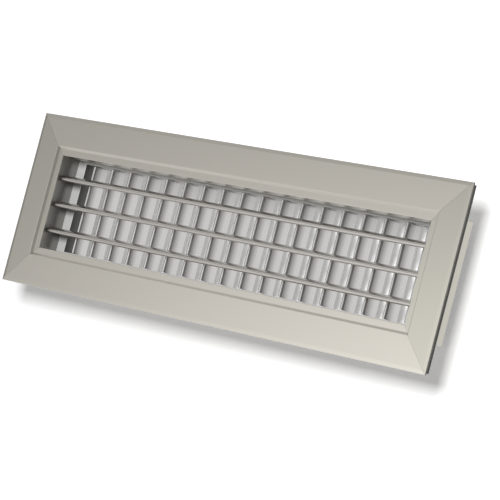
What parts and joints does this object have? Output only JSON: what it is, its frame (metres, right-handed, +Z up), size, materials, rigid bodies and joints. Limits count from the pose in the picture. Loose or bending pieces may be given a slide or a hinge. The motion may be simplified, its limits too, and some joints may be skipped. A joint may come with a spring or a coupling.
{
  "type": "double deflection wall grille",
  "caption": "Double deflection wall grille with a mitred aluminium frame, a front row of level aerofoil blades and a rear row of upright ones, each blade turning by itself.",
  "frame": {"origin": "centre of the opening, in the plane of the wall (the rear face of the gasket)", "axes": "+X along the width, to the right as seen from the front; +Z up; -Y out of the wall to the front, so the neck goes back along +Y"},
  "size_m": [0.5, 0.04, 0.15],
  "materials": {
    "frame_metal": "satin",
    "blade_metal": "satin",
    "carrier_metal": "satin",
    "cleat_metal": "matte",
    "nylon": "matte",
    "foam": "matte"
  },
  "bodies": {
    "frame": {"frame_top": "frame_metal", "frame_bottom": "frame_metal", "frame_left": "frame_metal", "frame_right": "frame_metal", "gasket_top": "foam", "gasket_bottom": "foam", "gasket_left": "foam", "gasket_right": "foam", "corner_cleats": "cleat_metal", "rear_carrier_top": "carrier_metal", "rear_carrier_bottom": "carrier_metal", "rear_carrier_left": "carrier_metal", "rear_carrier_right": "carrier_metal"},
    "front_blade_1": {"front_blade_1": "blade_metal", "front_pivots_1": "nylon"},
    "front_blade_2": {"front_blade_2": "blade_metal", "front_pivots_2": "nylon"},
    "front_blade_3": {"front_blade_3": "blade_metal", "front_pivots_3": "nylon"},
    "rear_blade_01": {"rear_blade_01": "blade_metal", "rear_pivots_01": "nylon"},
    "rear_blade_02": {"rear_blade_02": "blade_metal", "rear_pivots_02": "nylon"},
    "rear_blade_03": {"rear_blade_03": "blade_metal", "rear_pivots_03": "nylon"},
    "rear_blade_04": {"rear_blade_04": "blade_metal", "rear_pivots_04": "nylon"},
    "rear_blade_05": {"rear_blade_05": "blade_metal", "rear_pivots_05": "nylon"},
    "rear_blade_06": {"rear_blade_06": "blade_metal", "rear_pivots_06": "nylon"},
    "rear_blade_07": {"rear_blade_07": "blade_metal", "rear_pivots_07": "nylon"},
    "rear_blade_08": {"rear_blade_08": "blade_metal", "rear_pivots_08": "nylon"},
    "rear_blade_09": {"rear_blade_09": "blade_metal", "rear_pivots_09": "nylon"},
    "rear_blade_10": {"rear_blade_10": "blade_metal", "rear_pivots_10": "nylon"},
    "rear_blade_11": {"rear_blade_11": "blade_metal", "rear_pivots_11": "nylon"},
    "rear_blade_12": {"rear_blade_12": "blade_metal", "rear_pivots_12": "nylon"},
    "rear_blade_13": {"rear_blade_13": "blade_metal", "rear_pivots_13": "nylon"},
    "rear_blade_14": {"rear_blade_14": "blade_metal", "rear_pivots_14": "nylon"},
    "rear_blade_15": {"rear_blade_15": "blade_metal", "rear_pivots_15": "nylon"},
    "rear_blade_16": {"rear_blade_16": "blade_metal", "rear_pivots_16": "nylon"},
    "rear_blade_17": {"rear_blade_17": "blade_metal", "rear_pivots_17": "nylon"},
    "rear_blade_18": {"rear_blade_18": "blade_metal", "rear_pivots_18": "nylon"}
  },
  "joints": [
    {"name": "front_blade_1_turn", "type": "hinge", "parent": "frame", "child": "front_blade_1", "pos_m": [0, 0.0073, -0.023], "axis": [1, 0, 0], "range_deg": [-90, 90]},
    {"name": "front_blade_2_turn", "type": "hinge", "parent": "frame", "child": "front_blade_2", "pos_m": [0, 0.0073, 0], "axis": [1, 0, 0], "range_deg": [-90, 90]},
    {"name": "front_blade_3_turn", "type": "hinge", "parent": "frame", "child": "front_blade_3", "pos_m": [0, 0.0073, 0.023], "axis": [1, 0, 0], "range_deg": [-90, 90]},
    {"name": "rear_blade_01_turn", "type": "hinge", "parent": "frame", "child": "rear_blade_01", "pos_m": [-0.1967, 0.0253, 0], "axis": [0, 0, 1], "range_deg": [-90, 90]},
    {"name": "rear_blade_02_turn", "type": "hinge", "parent": "frame", "child": "rear_blade_02", "pos_m": [-0.17356, 0.0253, 0], "axis": [0, 0, 1], "range_deg": [-90, 90]},
    {"name": "rear_blade_03_turn", "type": "hinge", "parent": "frame", "child": "rear_blade_03", "pos_m": [-0.15042, 0.0253, 0], "axis": [0, 0, 1], "range_deg": [-90, 90]},
    {"name": "rear_blade_04_turn", "type": "hinge", "parent": "frame", "child": "rear_blade_04", "pos_m": [-0.12728, 0.0253, 0], "axis": [0, 0, 1], "range_deg": [-90, 90]},
    {"name": "rear_blade_05_turn", "type": "hinge", "parent": "frame", "child": "rear_blade_05", "pos_m": [-0.10414, 0.0253, 0], "axis": [0, 0, 1], "range_deg": [-90, 90]},
    {"name": "rear_blade_06_turn", "type": "hinge", "parent": "frame", "child": "rear_blade_06", "pos_m": [-0.08099, 0.0253, 0], "axis": [0, 0, 1], "range_deg": [-90, 90]},
    {"name": "rear_blade_07_turn", "type": "hinge", "parent": "frame", "child": "rear_blade_07", "pos_m": [-0.05785, 0.0253, 0], "axis": [0, 0, 1], "range_deg": [-90, 90]},
    {"name": "rear_blade_08_turn", "type": "hinge", "parent": "frame", "child": "rear_blade_08", "pos_m": [-0.03471, 0.0253, 0], "axis": [0, 0, 1], "range_deg": [-90, 90]},
    {"name": "rear_blade_09_turn", "type": "hinge", "parent": "frame", "child": "rear_blade_09", "pos_m": [-0.01157, 0.0253, 0], "axis": [0, 0, 1], "range_deg": [-90, 90]},
    {"name": "rear_blade_10_turn", "type": "hinge", "parent": "frame", "child": "rear_blade_10", "pos_m": [0.01157, 0.0253, 0], "axis": [0, 0, 1], "range_deg": [-90, 90]},
    {"name": "rear_blade_11_turn", "type": "hinge", "parent": "frame", "child": "rear_blade_11", "pos_m": [0.03471, 0.0253, 0], "axis": [0, 0, 1], "range_deg": [-90, 90]},
    {"name": "rear_blade_12_turn", "type": "hinge", "parent": "frame", "child": "rear_blade_12", "pos_m": [0.05785, 0.0253, 0], "axis": [0, 0, 1], "range_deg": [-90, 90]},
    {"name": "rear_blade_13_turn", "type": "hinge", "parent": "frame", "child": "rear_blade_13", "pos_m": [0.08099, 0.0253, 0], "axis": [0, 0, 1], "range_deg": [-90, 90]},
    {"name": "rear_blade_14_turn", "type": "hinge", "parent": "frame", "child": "rear_blade_14", "pos_m": [0.10414, 0.0253, 0], "axis": [0, 0, 1], "range_deg": [-90, 90]},
    {"name": "rear_blade_15_turn", "type": "hinge", "parent": "frame", "child": "rear_blade_15", "pos_m": [0.12728, 0.0253, 0], "axis": [0, 0, 1], "range_deg": [-90, 90]},
    {"name": "rear_blade_16_turn", "type": "hinge", "parent": "frame", "child": "rear_blade_16", "pos_m": [0.15042, 0.0253, 0], "axis": [0, 0, 1], "range_deg": [-90, 90]},
    {"name": "rear_blade_17_turn", "type": "hinge", "parent": "frame", "child": "rear_blade_17", "pos_m": [0.17356, 0.0253, 0], "axis": [0, 0, 1], "range_deg": [-90, 90]},
    {"name": "rear_blade_18_turn", "type": "hinge", "parent": "frame", "child": "rear_blade_18", "pos_m": [0.1967, 0.0253, 0], "axis": [0, 0, 1], "range_deg": [-90, 90]}
  ]
}
